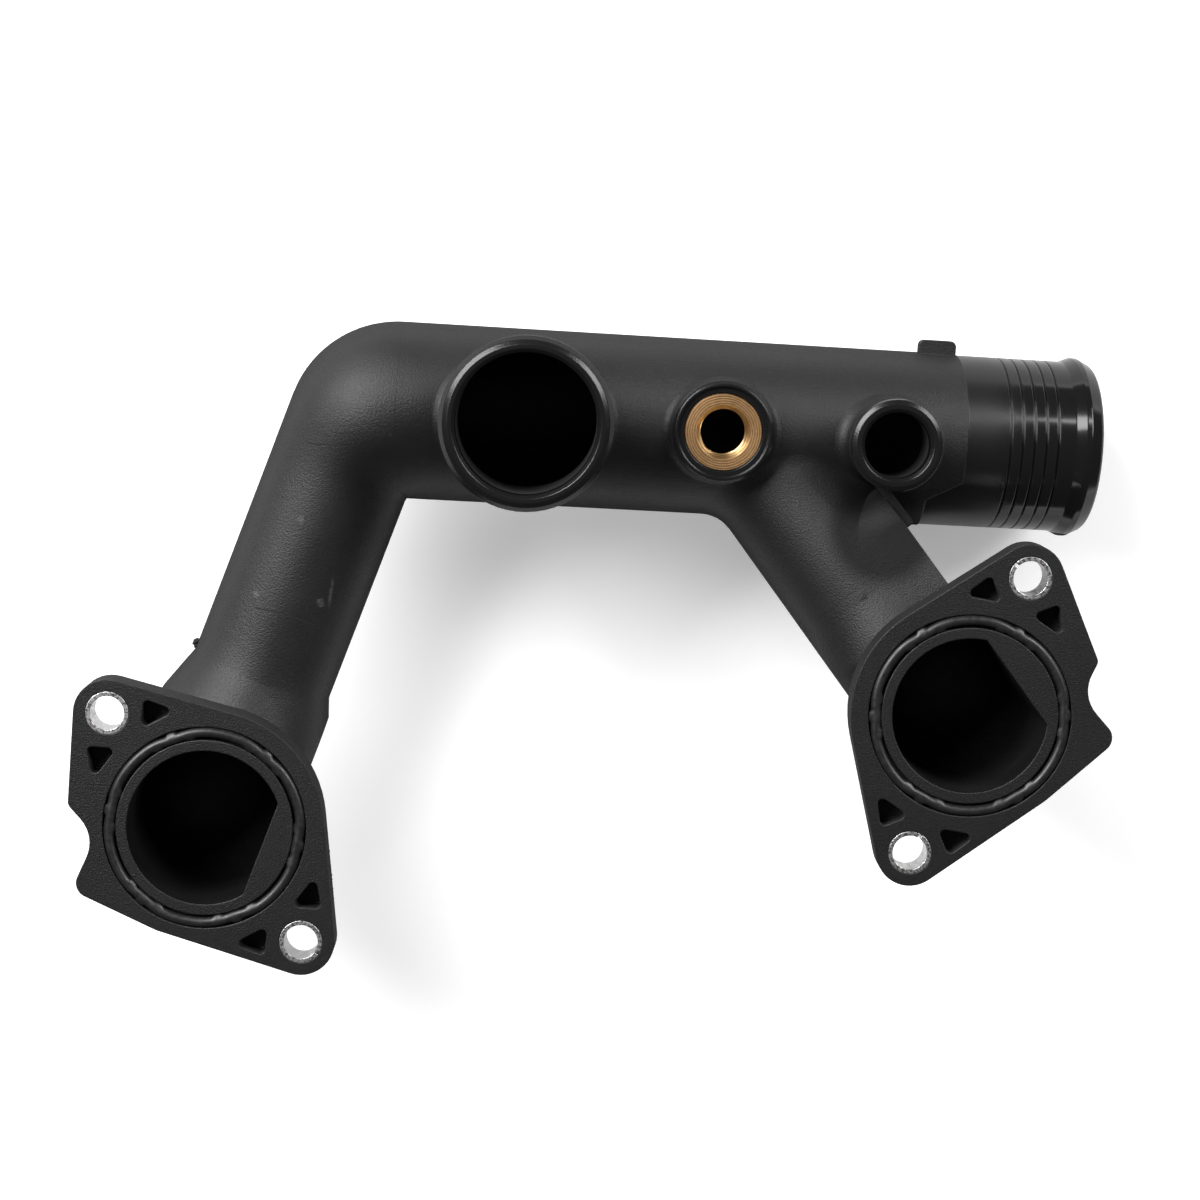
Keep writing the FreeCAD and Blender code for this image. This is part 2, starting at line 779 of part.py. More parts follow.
# Split steel sleeves in the four bolt holes
def sleeve(name, centre, turn, side, slit_angle):
    body = doc.addObject("PartDesign::Body", name)
    middle = Vector(0, 0, 0)
    up = Vector(0, 0, 1)
    rings = [Part.Circle(middle, up, size("sleeve_od") / 2), Part.Circle(middle, up, size("sleeve_id") / 2)]
    outline = sketch_on(body, name + "Outline", "XY_Plane", rings)
    pad = body.newObject("PartDesign::Pad", name + "Pad")
    pad.Profile = outline
    pad.setExpression("Length", "Sizes.flange_thick")
    pad.Reversed = True
    half = size("slit_width") / 2
    slit = rounded([(0, -half), (size("sleeve_od"), -half), (size("sleeve_od"), half), (0, half)])
    pocket(body, name + "Slit", slit, "Sizes.flange_thick + 1")
    place = centre + flat(turn) * (side * size("bolt_pitch") / 2)
    body.Placement = turned(slit_angle, place)
    body.Label = name
    return body


sleeves = [
    sleeve("left_sleeve_notch", Vector(0, 0, 0), size("left_turn"), -1, -45),
    sleeve("left_sleeve_tip", Vector(0, 0, 0), size("left_turn"), 1, -30),
    sleeve("right_sleeve_notch", right_bore, size("right_turn"), -1, 140),
    sleeve("right_sleeve_tip", right_bore, size("right_turn"), 1, 62),
]


# Rubber seals: six-sided wavy rings with centring nubs
def seal(name, centre, phase):
    bend = size("seal_bend_r")
    tip = size("seal_tip_r")
    middle = size("seal_mid_r")
    reach = tip - bend
    lean = math.cos(math.radians(30))
    side_r = (reach ** 2 + middle ** 2 - 2 * reach * middle * lean - bend ** 2) / (
        2 * (middle - reach * lean - bend))
    bend_centre_at = Vector(reach, 0, 0)
    side_centre = flat(30) * (middle - side_r)
    swing = (bend_centre_at - side_centre)
    join = math.degrees(math.atan2(swing.y, swing.x))
    half = size("seal_width") / 2
    foot = -size("seat_depth")
    crown = foot + size("seal_height")
    chamfer = size("seal_chamfer")
    shoulder = crown - chamfer
    outline = [(-half, foot), (half, foot), (half, shoulder), (half - chamfer, crown)]
    outline += [(chamfer - half, crown), (-half, shoulder), (-half, foot)]

    def section(radius, origin, angle):
        out = flat(angle)
        points = [origin + out * (radius + side) + Vector(0, 0, height) for side, height in outline]
        return Part.Face(Part.makePolygon(points))

    up = Vector(0, 0, 1)
    pieces = []
    for index in range(6):
        spin = 60 * index
        origin = Rotation(up, spin).multVec(bend_centre_at)
        pieces.append(section(bend, origin, spin - abs(join)).revolve(origin, up, 2 * abs(join)))
        origin = Rotation(up, spin).multVec(side_centre)
        pieces.append(section(side_r, origin, spin + abs(join)).revolve(origin, up, 60 - 2 * abs(join)))
    nub = size("nub_r")
    outer = size("groove_outer_r") - size("nub_gap") - nub
    inner = size("groove_inner_r") + size("nub_gap") + nub
    spread = size("nub_spread")
    for index in range(6):
        for turn, radius in ((0, outer), (-spread, inner), (spread, inner)):
            place = flat(60 * index + turn) * radius + Vector(0, 0, foot)
            pieces.append(Part.makeCylinder(nub, size("seal_height") - half, place))
    ring = pieces[0].multiFuse(pieces[1:]).removeSplitter()
    obj = doc.addObject("Part::Feature", name)
    obj.Shape = ring
    obj.Placement = turned(phase, centre)
    obj.Label = name
    return obj


seals = [seal("left_seal", Vector(0, 0, 0), -11), seal("right_seal", right_bore, 0)]


# Brass insert with a threaded hole and a chamfered mouth
def insert():
    top = size("boss_top") - size("insert_recess")
    length = size("insert_length")
    hole = size("insert_hole") / 2
    radius = size("insert_od") / 2
    mouth = size("insert_mouth")
    edge = size("insert_edge")
    profile = [
        (hole, -length),
        (radius, -length),
        (radius, -edge),
        (radius - edge, 0),
        (hole + mouth, 0),
        (hole, -mouth),
    ]
    body = lathe("brass_insert", profile, Placement(Vector(boss_x, size("pipe_y"), top), Rotation()))
    body.Label = "brass_insert"
    return body


nodes = [moulding, insert()] + sleeves + seals
doc.recompute()

# Every object must be sound before anything is written
for obj in doc.Objects:
    if "Invalid" in obj.State or "Error" in obj.State:
        raise RuntimeError("%s did not build: %s" % (obj.Name, obj.State))
os.makedirs("parts", exist_ok=True)
for node in nodes:
    shape = node.Shape
    if shape.isNull() or not shape.isValid() or len(shape.Solids) != 1:
        raise RuntimeError("%s is not one sound solid (%d)" % (node.Label, len(shape.Solids)))
    shape.exportStep("parts/%s.step" % node.Label)
    print("%-20s %9.1f mm3" % (node.Label, shape.Volume), shape.BoundBox)
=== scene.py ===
import json
import math
import random
import bmesh
import bpy
import numpy
from mathutils import Matrix, Vector
from mathutils.bvhtree import BVHTree


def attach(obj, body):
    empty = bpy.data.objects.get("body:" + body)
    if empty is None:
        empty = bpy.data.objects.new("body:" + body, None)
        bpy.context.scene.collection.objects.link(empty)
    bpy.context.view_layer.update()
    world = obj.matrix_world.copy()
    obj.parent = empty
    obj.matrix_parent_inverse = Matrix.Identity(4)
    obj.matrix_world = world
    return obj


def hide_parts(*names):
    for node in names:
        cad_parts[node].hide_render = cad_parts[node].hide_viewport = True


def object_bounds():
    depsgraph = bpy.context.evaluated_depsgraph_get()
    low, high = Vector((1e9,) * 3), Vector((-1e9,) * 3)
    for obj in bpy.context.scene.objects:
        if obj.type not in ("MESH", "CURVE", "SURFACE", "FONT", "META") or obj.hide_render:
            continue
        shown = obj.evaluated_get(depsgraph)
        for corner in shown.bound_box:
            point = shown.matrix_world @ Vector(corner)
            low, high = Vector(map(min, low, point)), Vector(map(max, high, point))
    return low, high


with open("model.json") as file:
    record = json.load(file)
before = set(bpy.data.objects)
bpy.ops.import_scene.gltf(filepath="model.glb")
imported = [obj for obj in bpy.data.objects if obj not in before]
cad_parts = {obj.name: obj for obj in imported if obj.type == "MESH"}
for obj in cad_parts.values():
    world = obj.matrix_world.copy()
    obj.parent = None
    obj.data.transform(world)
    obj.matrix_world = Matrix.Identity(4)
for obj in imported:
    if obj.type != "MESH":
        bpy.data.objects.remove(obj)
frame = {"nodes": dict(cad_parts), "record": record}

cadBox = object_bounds()
nodes = frame["nodes"]
slotOf = {part["node"]: part["material_slot"] for part in frame["record"]["subparts"]}
mm = 0.001
print("frame loaded:", len(nodes), "nodes")


# what the whole pipe is measured from, in mm and degrees
pipe = {
    "start": (37.3, 95.25, -28.0),  # main pipe axis where the elbow ends
    "fall": 6.6,  # down to the right
    "bodyLength": 129.6,  # grained body, then the glossy spigot
    "stepStart": (160.0, 81.75), "stepSlant": 29.3, "stepLow": 74.9, "stepBlur": 0.05,  # slanted end of the body
    "leftBore": (0.0, 0.0), "rightBore": (170.25, 35.5),
    "largePort": (67.0, 95.25), "smallPort": (150.5, 94.85), "boss": (111.5, 95.25),
}
fallAngle = math.radians(pipe["fall"])
noiseSpan = (0.3, 0.7)  # where most of a noise's values lie


# node helpers
def addNode(tree, kind, **values):
    node = tree.nodes.new(kind)
    for name, value in values.items():
        if name in node.inputs:
            node.inputs[name].default_value = value
        else:
            setattr(node, name, value)
    return node


def feed(tree, value, socket):  # a fixed value, or a link from another node
    if isinstance(value, bpy.types.NodeSocket):
        tree.links.new(value, socket)
    else:
        socket.default_value = value


def newMaterial(name):
    material = bpy.data.materials.new(name)
    material.use_nodes = True
    tree = material.node_tree
    shader = tree.nodes["Principled BSDF"]
    return material, tree, shader


def mathNode(tree, operation, *values, clamp=False):
    node = addNode(tree, "ShaderNodeMath", operation=operation, use_clamp=clamp)
    for value, socket in zip(values, node.inputs):
        feed(tree, value, socket)
    return node.outputs[0]


def vectorNode(tree, operation, *values):
    node = addNode(tree, "ShaderNodeVectorMath", operation=operation)
    for value, socket in zip(values, node.inputs):
        feed(tree, value, socket)
    return node.outputs["Value" if operation in ("DOT_PRODUCT", "LENGTH") else "Vector"]


def allOf(tree, *masks):
    product = masks[0]
    for mask in masks[1:]:
        product = mathNode(tree, "MULTIPLY", product, mask)
    return product


def anyOf(tree, *masks):
    most = masks[0]
    for mask in masks[1:]:
        most = mathNode(tree, "MAXIMUM", most, mask)
    return most


def noneOf(tree, mask):
    return mathNode(tree, "SUBTRACT", 1.0, mask)


def ramp(tree, value, low, high, toLow=0.0, toHigh=1.0):
    node = addNode(tree, "ShaderNodeMapRange", clamp=True, interpolation_type="SMOOTHSTEP")
    for name, limit in (("From Min", low), ("From Max", high), ("To Min", toLow), ("To Max", toHigh)):
        node.inputs[name].default_value = limit
    feed(tree, value, node.inputs["Value"])
    return node.outputs["Result"]


def rise(tree, value, low, high):  # 0 to 1 as a length goes from low to high, in mm
    return ramp(tree, value, low * mm, high * mm)


def fade(tree, value, low, high):  # 1 to 0 as a length goes from low to high, in mm
    return ramp(tree, value, low * mm, high * mm, 1.0, 0.0)


def roughBetween(tree, value, rough, below, above):  # roughness that wanders with a noise
    return ramp(tree, value, *noiseSpan, rough - below, rough + above)


def position(tree):  # the place on the object, whole and as X, Y and Z
    place = addNode(tree, "ShaderNodeTexCoord").outputs["Object"]
    return place, splitAxes(tree, place)


def splitAxes(tree, vector):
    node = addNode(tree, "ShaderNodeSeparateXYZ")
    feed(tree, vector, node.inputs[0])
    return node.outputs


def noise(tree, vector, scale, detail=2.0, rough=0.5):
    node = addNode(tree, "ShaderNodeTexNoise", Scale=scale, Detail=detail, Roughness=rough)
    feed(tree, vector, node.inputs["Vector"])
    return node.outputs["Fac"]


def mixColor(tree, factor, first, second):
    node = addNode(tree, "ShaderNodeMix", data_type="RGBA")
    for value, index in ((factor, 0), (first, 6), (second, 7)):
        feed(tree, value, node.inputs[index])
    return node.outputs[2]


def mixFloat(tree, factor, first, second):
    node = addNode(tree, "ShaderNodeMix")
    for value, index in ((factor, 0), (first, 2), (second, 3)):
        feed(tree, value, node.inputs[index])
    return node.outputs[0]


def bump(tree, height, strength, distance, normal=None):  # distance in mm
    node = addNode(tree, "ShaderNodeBump", Strength=strength, Distance=distance * mm)
    feed(tree, height, node.inputs["Height"])
    if normal is not None:
        feed(tree, normal, node.inputs["Normal"])
    return node.outputs["Normal"]


def roundEdges(tree, radius):  # normal with the sharp edges rounded, radius in mm
    return addNode(tree, "ShaderNodeBevel", samples=8, Radius=radius * mm).outputs[0]


def planar(tree, place, origin):  # the way in plan from a point in mm, Z left out
    shifted = vectorNode(tree, "SUBTRACT", place, (origin[0] * mm, origin[1] * mm, 0))
    return vectorNode(tree, "MULTIPLY", shifted, (1, 1, 0))


def reachFrom(tree, place, origin):  # distance in plan
    return vectorNode(tree, "LENGTH", planar(tree, place, origin))


# black glass-filled nylon: eroded grain on the body, polished on the spigot and port rims
nylon = {
    "color": (0.0045, 0.0045, 0.0048, 1), "colorPale": (0.007, 0.007, 0.0074, 1), "cloudScale": 60.0,
    "rough": 0.45, "roughSpread": 0.04, "roughGrain": 0.3,
    "roughEdge": 0.95, "turnedAway": (0.35, 0.95),  # duller where the skin turns away from the eye
    "roughFace": 0.4, "faceZ": (-0.6, -0.2),  # the two sealing faces
    "roughEtched": 0.34, "roughPolished": 0.13, "polishX": (172.0, 186.0),  # along the spigot
    "roughRim": 0.24, "rimSmooth": 0.8, "rims": [  # centre, inner and outer reach, lowest Z
        (pipe["largePort"], 15.0, 19.8, 2.5),
        (pipe["smallPort"], 7.0, 10.8, -10.5),
        (pipe["boss"], 8.7, 11.5, -14.0),
    ], "rimBlurInside": 0.1, "rimBlurOutside": 0.3, "rimBlurBelow": 0.5,
    "grainSize": 0.4, "grainDepth": 0.24, "grainStrength": 0.6,
    "etchSize": 0.5, "etchDepth": 0.03, "etchStrength": 0.5, "edgeRound": 0.4,
    "boreReach": (18.1, 18.3), "boreZ": (-37.0, -36.0),  # inside of the two flanged bores
    # painted shade: the specular level is lowered on the gusset's face so that it stays dark
    "specular": 0.4, "specularGussetShade": 0.12,
    "gusset": (149.0, 75.0), "gussetReach": (9.0, 14.5), "gussetZ": (-2.0, -1.0),
}

# marks of the mould and of handling on the left leg, seen in plan
wear = {
    "upperZ": (-26.0, -22.0), "color": (0.12, 0.12, 0.125, 1), "tornScale": 2600.0, "torn": (0.32, 0.72),
    "witness": [((17.2, 87.0), (25.6, 87.1)), ((7.3, 49.1), (16.0, 47.9)), ((15.6, 48.0), (24.1, 44.9))],
    "witnessWidth": 0.04, "witnessBlur": 0.14, "witnessDepth": 0.04, "witnessStrength": 0.4,
    "scuff": ((25.3, 59.0), (24.1, 48.0)), "scuffBlur": 0.8, "scuffShare": 0.7,
    "scuffMiddle": (24.7, 53.4), "scuffReach": (0.3, 4.6),
    "smudge": [((22.2, 52.0), (22.8, 49.9)), ((16.6, 70.4), (17.6, 69.2)), ((7.5, 52.9), (8.0, 51.4))],
    "smudgeWidth": 0.2, "smudgeBlur": 0.9, "smudgeShare": 0.45,
    "fadeIn": 0.08, "fadeOut": 0.9,  # share of a line's length where it has come up and where it starts to go
}


def spigotMask(tree, place, apart):
    blur = pipe["stepBlur"]
    ahead = vectorNode(tree, "DOT_PRODUCT", place, (math.cos(fallAngle), 0, -math.sin(fallAngle)))
    startX, _, startZ = pipe["start"]
    end = startX * math.cos(fallAngle) - startZ * math.sin(fallAngle) + pipe["bodyLength"]
    past = rise(tree, ahead, end - blur, end + blur)
    slope = math.tan(math.radians(pipe["stepSlant"]))
    stepX, stepY = pipe["stepStart"]
    limit = mathNode(tree, "MULTIPLY_ADD", apart["X"], slope, (stepY - stepX * slope) * mm)
    under = rise(tree, mathNode(tree, "SUBTRACT", limit, apart["Y"]), -blur, blur)
    slanted = allOf(tree, under, rise(tree, apart["X"], stepX, stepX + 2 * blur))
    above = rise(tree, apart["Y"], pipe["stepLow"] - 2 * blur, pipe["stepLow"] + 2 * blur)
    return allOf(tree, anyOf(tree, past, slanted), above)


def rimMask(tree, place, apart):
    bands = []
    inside, outside, below = nylon["rimBlurInside"], nylon["rimBlurOutside"], nylon["rimBlurBelow"]
    for centre, inner, outer, low in nylon["rims"]:
        reach = reachFrom(tree, place, centre)
        begun = rise(tree, reach, inner - inside, inner + inside)
        ended = fade(tree, reach, outer, outer + outside)
        bands.append(allOf(tree, begun, ended, rise(tree, apart["Z"], low - below, low + below)))
    return anyOf(tree, *bands)


def lineMask(tree, place, line, width, blur):  # 1 on a line seen in plan, fading over blur, in mm
    start, end = line
    along = Vector((end[0] - start[0], end[1] - start[1], 0))
    length = along.length
    along.normalize()
    offset = planar(tree, place, start)
    ahead = vectorNode(tree, "DOT_PRODUCT", offset, tuple(along))
    beside = vectorNode(tree, "DOT_PRODUCT", offset, (-along.y, along.x, 0))
    inside = fade(tree, mathNode(tree, "ABSOLUTE", beside), width, width + blur)
    begun = rise(tree, ahead, 0.0, wear["fadeIn"] * length)
    ended = fade(tree, ahead, wear["fadeOut"] * length, length)
    return allOf(tree, inside, begun, ended)


def witnessMask(tree, place, apart):
    lines = [lineMask(tree, place, line, wear["witnessWidth"], wear["witnessBlur"]) for line in wear["witness"]]
    return allOf(tree, anyOf(tree, *lines), rise(tree, apart["Z"], *wear["upperZ"]))


def scuffMask(tree, place, apart):
    upper = rise(tree, apart["Z"], *wear["upperZ"])
    torn = ramp(tree, noise(tree, place, wear["tornScale"], detail=4.0, rough=0.7), *wear["torn"])
    scuff = lineMask(tree, place, wear["scuff"], 0.0, wear["scuffBlur"])
    near = fade(tree, reachFrom(tree, place, wear["scuffMiddle"]), *wear["scuffReach"])
    smudges = [lineMask(tree, place, line, wear["smudgeWidth"], wear["smudgeBlur"]) for line in wear["smudge"]]
    scuff = allOf(tree, scuff, scuff, near, torn, upper, wear["scuffShare"])
    return anyOf(tree, scuff, allOf(tree, anyOf(tree, *smudges), torn, upper, wear["smudgeShare"]))


def boreMask(tree, place, apart):
    centres = (pipe["leftBore"], pipe["rightBore"])
    bores = [fade(tree, reachFrom(tree, place, centre), *nylon["boreReach"]) for centre in centres]
    return allOf(tree, anyOf(tree, *bores), rise(tree, apart["Z"], *nylon["boreZ"]))


def nylonMaterial():
    material, tree, shader = newMaterial("blackNylon")
    place, apart = position(tree)
    spigot = spigotMask(tree, place, apart)
    rims = rimMask(tree, place, apart)
    witness = witnessMask(tree, place, apart)
    polish = rise(tree, apart["X"], *nylon["polishX"])
    grain = noise(tree, place, 1 / (nylon["grainSize"] * mm), detail=4.0, rough=0.6)
    etch = noise(tree, place, 1 / (nylon["etchSize"] * mm), detail=4.0, rough=0.65)
    cloudy = noise(tree, place, nylon["cloudScale"], detail=3.0, rough=0.55)

    color = mixColor(tree, cloudy, nylon["color"], nylon["colorPale"])
    feed(tree, mixColor(tree, scuffMask(tree, place, apart), color, wear["color"]), shader.inputs["Base Color"])

    # roughness of the body, then of its edges, rims and the spigot
    uneven = mathNode(tree, "MULTIPLY", mathNode(tree, "SUBTRACT", grain, 0.5), nylon["roughGrain"])
    body = roughBetween(tree, cloudy, nylon["rough"], nylon["roughSpread"], nylon["roughSpread"])
    body = mathNode(tree, "ADD", body, uneven)
    body = mixFloat(tree, rise(tree, apart["Z"], *nylon["faceZ"]), body, nylon["roughFace"])
    facing = addNode(tree, "ShaderNodeLayerWeight", Blend=0.5).outputs["Facing"]
    grazing = ramp(tree, facing, *nylon["turnedAway"])
    outside = noneOf(tree, boreMask(tree, place, apart))
    body = mixFloat(tree, allOf(tree, grazing, outside), body, nylon["roughEdge"])
    body = mixFloat(tree, rims, body, nylon["roughRim"])
    rough = mixFloat(tree, spigot, body, mixFloat(tree, polish, nylon["roughEtched"], nylon["roughPolished"]))
    feed(tree, mixFloat(tree, witness, rough, 1.0), shader.inputs["Roughness"])

    smooth = anyOf(tree, spigot, mathNode(tree, "MULTIPLY", rims, nylon["rimSmooth"]))
    bodyGrain = allOf(tree, noneOf(tree, smooth), grain)
    spigotGrain = allOf(tree, noneOf(tree, polish), spigot, etch)
    normal = roundEdges(tree, nylon["edgeRound"])
    normal = bump(tree, bodyGrain, nylon["grainStrength"], nylon["grainDepth"], normal)
    normal = bump(tree, spigotGrain, nylon["etchStrength"], nylon["etchDepth"], normal)
    groove = mathNode(tree, "MULTIPLY", witness, -1.0)
    normal = bump(tree, groove, wear["witnessStrength"], wear["witnessDepth"], normal)
    feed(tree, normal, shader.inputs["Normal"])

    # painted shade on the gusset's face, by a lower specular level
    nearGusset = fade(tree, reachFrom(tree, place, nylon["gusset"]), *nylon["gussetReach"])
    paintedShade = allOf(tree, nearGusset, fade(tree, apart["Z"], *nylon["gussetZ"]))
    specular = mixFloat(tree, paintedShade, nylon["specular"], nylon["specularGussetShade"])
    feed(tree, specular, shader.inputs["Specular IOR Level"])
    return material


# turned brass of the sensor insert, lengths in mm
brass = {
    "color": (0.74, 0.46, 0.22, 1), "colorDeep": (0.33, 0.18, 0.08, 1), "colorBright": (0.90, 0.58, 0.27, 1),
    "rough": 0.42, "roughBright": 0.3, "patinaScale": 900.0,
    "toolPitch": 0.55, "toolDepth": 0.03, "toolStrength": 0.5, "toolShade": (-0.15, 0.45),
    "wobble": 0.4, "wobbleScale": 300.0,
    "threadPitch": 1.5, "threadDepth": 0.5, "threadStrength": 1.0,
    "holeReach": (5.25, 5.35), "mouthReach": (6.19, 6.31),
    # colour of the painted shade in the gaps between the knurl teeth
    "knurlTeeth": 96.0, "knurlReach": (8.45, 8.7), "knurlGap": (-0.3, 0.5), "colorKnurlGapShade": (0.1, 0.06, 0.03, 1),
}


def brassMaterial():
    material, tree, shader = newMaterial("turnedBrass")
    place, apart = position(tree)
    flat = splitAxes(tree, planar(tree, place, pipe["boss"]))
    reach = reachFrom(tree, place, pipe["boss"])
    angle = mathNode(tree, "ARCTAN2", flat["Y"], flat["X"])
    wobble = mathNode(tree, "MULTIPLY", noise(tree, place, brass["wobbleScale"]), brass["wobble"] * mm)
    outward = mathNode(tree, "ADD", reach, wobble)
    ridges = mathNode(tree, "SINE", mathNode(tree, "MULTIPLY", outward, 2 * math.pi / (brass["toolPitch"] * mm)))

    # knurl teeth show at the rim as painted shade in the gaps between them, thread turns on the wall of the hole
    teeth = mathNode(tree, "SINE", mathNode(tree, "MULTIPLY", angle, brass["knurlTeeth"]))
    knurl = allOf(tree, rise(tree, reach, *brass["knurlReach"]), ramp(tree, teeth, *brass["knurlGap"], 1.0, 0.0))
    climb = mathNode(tree, "MULTIPLY", apart["Z"], 2 * math.pi / (brass["threadPitch"] * mm))
    thread = mathNode(tree, "SINE", mathNode(tree, "SUBTRACT", climb, angle))
    thread = allOf(tree, thread, fade(tree, reach, *brass["holeReach"]))

    patina = noise(tree, place, brass["patinaScale"], detail=4.0, rough=0.65)
    rings = ramp(tree, ridges, -1.0, 1.0, *brass["toolShade"])
    color = mixColor(tree, mathNode(tree, "ADD", patina, rings, clamp=True), brass["color"], brass["colorDeep"])
    mouth = fade(tree, reach, *brass["mouthReach"])
    color = mixColor(tree, mouth, color, brass["colorBright"])
    # painted shade: the gaps between the knurl teeth are coloured dark
    feed(tree, mixColor(tree, knurl, color, brass["colorKnurlGapShade"]), shader.inputs["Base Color"])
    feed(tree, mixFloat(tree, mouth, brass["rough"], brass["roughBright"]), shader.inputs["Roughness"])
    normal = bump(tree, ridges, brass["toolStrength"], brass["toolDepth"])
    normal = bump(tree, thread, brass["threadStrength"], brass["threadDepth"], normal)
    feed(tree, normal, shader.inputs["Normal"])
    shader.inputs["Metallic"].default_value = 1.0
    return material


# bright rolled steel of the split sleeves, lengths in mm
steel = {
    "color": (0.80, 0.80, 0.81, 1), "colorDull": (0.55, 0.54, 0.54, 1), "colorPitted": (0.16, 0.14, 0.13, 1),
    "rough": 0.24, "roughSpread": (0.06, 0.1), "roughEnd": 0.42, "endZ": (-0.8, -0.4), "edgeRound": 0.25,
    "streakScale": 1100.0, "streakStretch": (1, 1, 0.15), "streakDepth": 0.02, "streakStrength": 0.15,
    "pitScale": 1500.0, "pits": (0.46, 0.6),
}


def steelMaterial():
    material, tree, shader = newMaterial("sleeveSteel")
    place, apart = position(tree)
    stretch = addNode(tree, "ShaderNodeMapping", Scale=steel["streakStretch"])
    feed(tree, place, stretch.inputs["Vector"])
    streaks = noise(tree, stretch.outputs[0], steel["streakScale"], detail=3.0, rough=0.6)
    atEnd = rise(tree, apart["Z"], *steel["endZ"])
    pits = noise(tree, place, steel["pitScale"], detail=3.0, rough=0.6)
    pitted = allOf(tree, ramp(tree, pits, *steel["pits"]), atEnd)
    color = mixColor(tree, streaks, steel["color"], steel["colorDull"])
    feed(tree, mixColor(tree, pitted, color, steel["colorPitted"]), shader.inputs["Base Color"])
    rolled = roughBetween(tree, streaks, steel["rough"], *steel["roughSpread"])
    feed(tree, mixFloat(tree, atEnd, rolled, steel["roughEnd"]), shader.inputs["Roughness"])
    normal = roundEdges(tree, steel["edgeRound"])
    normal = bump(tree, streaks, steel["streakStrength"], steel["streakDepth"], normal)
    feed(tree, normal, shader.inputs["Normal"])
    shader.inputs["Metallic"].default_value = 1.0
    return material


# moulded rubber of the seals, lengths in mm
rubber = {
    "color": (0.006, 0.006, 0.0065, 1), "colorBloom": (0.012, 0.012, 0.0125, 1),
    "rough": 0.38, "roughSpread": (0.05, 0.1), "edgeRound": 0.5,
    "bloomScale": 900.0, "bloomDepth": 0.03, "bloomStrength": 0.3,
}


def rubberMaterial():
    material, tree, shader = newMaterial("sealRubber")
    bloom = noise(tree, position(tree)[0], rubber["bloomScale"], detail=3.0, rough=0.6)
    feed(tree, mixColor(tree, bloom, rubber["color"], rubber["colorBloom"]), shader.inputs["Base Color"])
    feed(tree, roughBetween(tree, bloom, rubber["rough"], *rubber["roughSpread"]), shader.inputs["Roughness"])
    normal = roundEdges(tree, rubber["edgeRound"])
    normal = bump(tree, bloom, rubber["bloomStrength"], rubber["bloomDepth"], normal)
    feed(tree, normal, shader.inputs["Normal"])
    return material


materials = {
    "black_nylon": nylonMaterial(),
    "turned_brass": brassMaterial(),
    "sleeve_steel": steelMaterial(),
    "seal_rubber": rubberMaterial(),
}
for name, obj in nodes.items():
    obj.data.materials.clear()
    obj.data.materials.append(materials[slotOf[name]])
print("materials set")


def addPiece(name, mesh, slotName):
    piece = bpy.data.objects.new(name, mesh)
    bpy.context.scene.collection.objects.link(piece)
    if not mesh.materials:
        mesh.materials.append(materials[slotName])
    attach(piece, "root")
    return piece


# the moulding itself, with its shading evened out where one tube runs into the next, in mm and degrees
evening = {
    "edge": 3.6, "passes": 7,  # longest edge on the legs, most times that longer ones are halved
    "cell": 2.4, "cellTurn": 2, "spread": 5.0, "likeness": 4, "same": 20, "batch": 500,
    "leftAngle": 72.1, "leftEnd": 48.0, "rightAngle": 129.1, "rightOffset": 3.1, "rightWide": 19.0,
    "neck": (22.0, 27.0), "legEnd": (62.0, 70.0),  # from the bore along a leg
    "legSide": (7.0, 11.0),  # beside the right leg
    "clearOfLarge": (22.0, 27.0), "clearOfBoss": (13.0, 17.0),
    "flangeZ": (-12.0, -10.2), "flangeY": 70.0,
}


def smoothStep(value, low, high):
    share = numpy.clip((value - low) / (high - low), 0, 1)
    return share * share * (3 - 2 * share)


def evenShare(points):  # how far each point's normal is evened, points in mm
    x, y, z = points.T
    fromLarge, fromBoss, fromSmall = [
        numpy.hypot(x - pipe[name][0], y - pipe[name][1]) for name in ("largePort", "boss", "smallPort")]
    left = math.radians(evening["leftAngle"])
    ahead = x * math.cos(left) + y * math.sin(left)
    leftShare = smoothStep(ahead, *evening["neck"]) * smoothStep(fromLarge, *evening["clearOfLarge"])
    leftShare = leftShare * (x < evening["leftEnd"])
    right = math.radians(evening["rightAngle"])
    offX, offY = x - pipe["rightBore"][0], y - pipe["rightBore"][1]
    ahead = offX * math.cos(right) + offY * math.sin(right)
    beside = offX * math.sin(right) - offY * math.cos(right) + evening["rightOffset"]
    rightShare = smoothStep(ahead, *evening["neck"]) * (1 - smoothStep(ahead, *evening["legEnd"]))
    rightShare = rightShare * (1 - smoothStep(beside, *evening["legSide"])) * (beside > -evening["rightWide"])
    for reach in (fromBoss, fromSmall):
        rightShare = rightShare * smoothStep(reach, *evening["clearOfBoss"])
    offFlange = 1 - smoothStep(z, *evening["flangeZ"]) * (y < evening["flangeY"])
    return numpy.maximum(leftShare, rightShare) * offFlange


def readArray(collection, name, width, kind=numpy.float32):
    values = numpy.zeros(len(collection) * width, dtype=kind)
    collection.foreach_get(name, values)
    return values.reshape(-1, width) if width > 1 else values


def unit(vectors):
    return vectors / numpy.maximum(numpy.linalg.norm(vectors, axis=1, keepdims=True), 1e-9)


def gather(keys, weights, values):  # weighted means of the rows that share a key
    _, group = numpy.unique(keys, axis=0, return_inverse=True)
    group = group.ravel()
    total = numpy.bincount(group, weights)
    sums = [numpy.bincount(group, weights * column) for column in values.T]
    return numpy.array(sums).T / total[:, None], total, group


